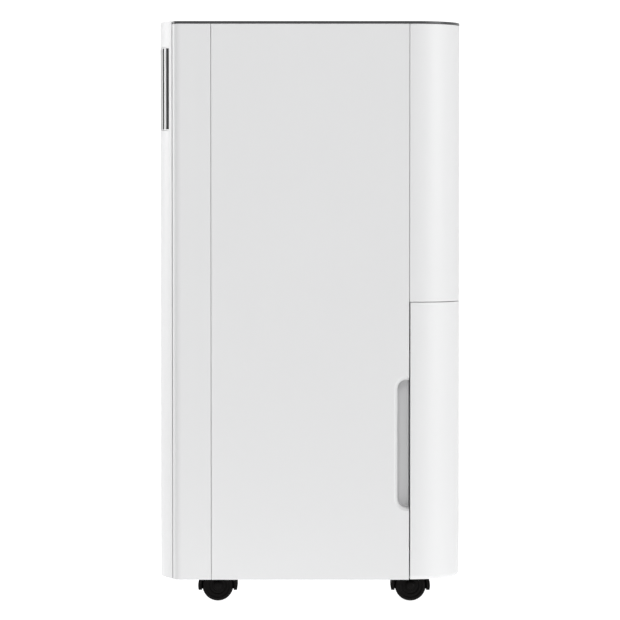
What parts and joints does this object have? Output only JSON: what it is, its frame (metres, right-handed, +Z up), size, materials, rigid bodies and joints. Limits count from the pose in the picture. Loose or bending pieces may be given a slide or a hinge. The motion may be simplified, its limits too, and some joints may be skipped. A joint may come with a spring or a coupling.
{
  "type": "dehumidifier",
  "caption": "Tall white compressor dehumidifier on swivel casters, with a bowed front panel and louvred outlet, a flat dark control top and a pull-out rear water tank.",
  "frame": {"origin": "on the floor, under the middle of the machine's outline", "axes": "+Z up; the front with the air outlet faces -Y, the water tank pulls out towards +Y, +X is across the machine"},
  "size_m": [0.386, 0.31, 0.6],
  "materials": {
    "casing": "satin",
    "tank_face": "satin",
    "grille": "satin",
    "outlet": "satin",
    "inner_plastic": "matte",
    "dark_plate": "gloss",
    "display": "gloss",
    "button": "gloss",
    "board": "satin",
    "fan_plastic": "matte",
    "motor_steel": "satin",
    "fin": "satin",
    "copper": "satin",
    "compressor_paint": "satin",
    "rubber": "matte",
    "steel": "satin",
    "capacitor": "satin",
    "switch": "matte",
    "tub": "satin",
    "lid": "satin",
    "handle": "satin",
    "float": "matte",
    "filter_frame": "matte",
    "filter_mesh": "matte",
    "caster": "satin",
    "wheel": "satin"
  },
  "bodies": {
    "housing": {"base_pan": "inner_plastic", "side_panel_left": "casing", "side_panel_right": "casing", "front_shell": "casing", "front_panel": "casing", "outlet_grille": "outlet", "rear_shell": "casing", "cord_gland": "rubber", "top_cover": "casing", "control_panel": "dark_plate", "display_window": "display", "control_board": "board", "bulkhead": "inner_plastic", "fan_scroll": "inner_plastic", "fan_motor": "motor_steel", "condenser_fins": "fin", "evaporator_fins": "fin", "condenser_tube": "copper", "evaporator_tube": "copper", "drip_tray": "inner_plastic", "compressor": "compressor_paint", "compressor_grommets": "rubber", "compressor_nuts": "steel", "suction_accumulator": "compressor_paint", "discharge_pipe": "copper", "suction_pipe": "copper", "capillary_tube": "copper", "run_capacitor": "capacitor", "tank_switch": "switch"},
    "fan": {"fan_wheel": "fan_plastic"},
    "filter": {"intake_grille": "grille", "filter_frame": "filter_frame", "filter_mesh": "filter_mesh"},
    "tank": {"tank_cover": "tank_face", "tank_tub": "tub", "tank_lid": "lid"},
    "handle": {"tank_handle": "handle"},
    "float": {"tank_float": "float"},
    "button_power": {"button_power": "button"},
    "button_mode": {"button_mode": "button"},
    "button_fan": {"button_fan": "button"},
    "button_timer": {"button_timer": "button"},
    "caster_front_left": {"caster_front_left_fork": "caster", "caster_front_left_axle": "steel"},
    "wheel_front_left_outer": {"caster_front_left_outer_wheel": "wheel"},
    "wheel_front_left_inner": {"caster_front_left_inner_wheel": "wheel"},
    "caster_front_right": {"caster_front_right_fork": "caster", "caster_front_right_axle": "steel"},
    "wheel_front_right_outer": {"caster_front_right_outer_wheel": "wheel"},
    "wheel_front_right_inner": {"caster_front_right_inner_wheel": "wheel"},
    "caster_rear_left": {"caster_rear_left_fork": "caster", "caster_rear_left_axle": "steel"},
    "wheel_rear_left_outer": {"caster_rear_left_outer_wheel": "wheel"},
    "wheel_rear_left_inner": {"caster_rear_left_inner_wheel": "wheel"},
    "caster_rear_right": {"caster_rear_right_fork": "caster", "caster_rear_right_axle": "steel"},
    "wheel_rear_right_outer": {"caster_rear_right_outer_wheel": "wheel"},
    "wheel_rear_right_inner": {"caster_rear_right_inner_wheel": "wheel"}
  },
  "joints": [
    {"name": "fan_spin", "type": "hinge", "parent": "housing", "child": "fan", "pos_m": [0, 0, 0.412], "axis": [0, 1, 0], "continuous": true},
    {"name": "filter_pull", "type": "slide", "parent": "housing", "child": "filter", "axis": [0, 1, 0], "range_m": [0, 0.08]},
    {"name": "tank_slide", "type": "slide", "parent": "housing", "child": "tank", "axis": [0, 1, 0], "range_m": [0, 0.3]},
    {"name": "handle_lift", "type": "hinge", "parent": "tank", "child": "handle", "pos_m": [0, 0.1107, 0.2683], "axis": [1, 0, 0], "range_deg": [0, 90]},
    {"name": "float_rise", "type": "hinge", "parent": "tank", "child": "float", "pos_m": [0.08, 0.08, 0.2458], "axis": [1, 0, 0], "range_deg": [0, 10]},
    {"name": "button_power_press", "type": "slide", "parent": "housing", "child": "button_power", "axis": [0, 0, -1], "range_m": [0, 0.001], "stiffness_N_per_m": 600, "springref_m": -0.001},
    {"name": "button_mode_press", "type": "slide", "parent": "housing", "child": "button_mode", "axis": [0, 0, -1], "range_m": [0, 0.001], "stiffness_N_per_m": 600, "springref_m": -0.001},
    {"name": "button_fan_press", "type": "slide", "parent": "housing", "child": "button_fan", "axis": [0, 0, -1], "range_m": [0, 0.001], "stiffness_N_per_m": 600, "springref_m": -0.001},
    {"name": "button_timer_press", "type": "slide", "parent": "housing", "child": "button_timer", "axis": [0, 0, -1], "range_m": [0, 0.001], "stiffness_N_per_m": 600, "springref_m": -0.001},
    {"name": "front_left_swivel", "type": "hinge", "parent": "housing", "child": "caster_front_left", "pos_m": [0.138, -0.104, 0.04], "axis": [0, 0, 1], "continuous": true},
    {"name": "front_left_outer_roll", "type": "hinge", "parent": "caster_front_left", "child": "wheel_front_left_outer", "pos_m": [0.138, -0.096, 0.0161], "axis": [1, 0, 0], "continuous": true},
    {"name": "front_left_inner_roll", "type": "hinge", "parent": "caster_front_left", "child": "wheel_front_left_inner", "pos_m": [0.138, -0.096, 0.0161], "axis": [1, 0, 0], "continuous": true},
    {"name": "front_right_swivel", "type": "hinge", "parent": "housing", "child": "caster_front_right", "pos_m": [-0.138, -0.104, 0.04], "axis": [0, 0, 1], "continuous": true},
    {"name": "front_right_outer_roll", "type": "hinge", "parent": "caster_front_right", "child": "wheel_front_right_outer", "pos_m": [-0.138, -0.096, 0.0161], "axis": [1, 0, 0], "continuous": true},
    {"name": "front_right_inner_roll", "type": "hinge", "parent": "caster_front_right", "child": "wheel_front_right_inner", "pos_m": [-0.138, -0.096, 0.0161], "axis": [1, 0, 0], "continuous": true},
    {"name": "rear_left_swivel", "type": "hinge", "parent": "housing", "child": "caster_rear_left", "pos_m": [0.138, 0.0965, 0.04], "axis": [0, 0, 1], "continuous": true},
    {"name": "rear_left_outer_roll", "type": "hinge", "parent": "caster_rear_left", "child": "wheel_rear_left_outer", "pos_m": [0.138, 0.1045, 0.0161], "axis": [1, 0, 0], "continuous": true},
    {"name": "rear_left_inner_roll", "type": "hinge", "parent": "caster_rear_left", "child": "wheel_rear_left_inner", "pos_m": [0.138, 0.1045, 0.0161], "axis": [1, 0, 0], "continuous": true},
    {"name": "rear_right_swivel", "type": "hinge", "parent": "housing", "child": "caster_rear_right", "pos_m": [-0.138, 0.0965, 0.04], "axis": [0, 0, 1], "continuous": true},
    {"name": "rear_right_outer_roll", "type": "hinge", "parent": "caster_rear_right", "child": "wheel_rear_right_outer", "pos_m": [-0.138, 0.1045, 0.0161], "axis": [1, 0, 0], "continuous": true},
    {"name": "rear_right_inner_roll", "type": "hinge", "parent": "caster_rear_right", "child": "wheel_rear_right_inner", "pos_m": [-0.138, 0.1045, 0.0161], "axis": [1, 0, 0], "continuous": true}
  ]
}
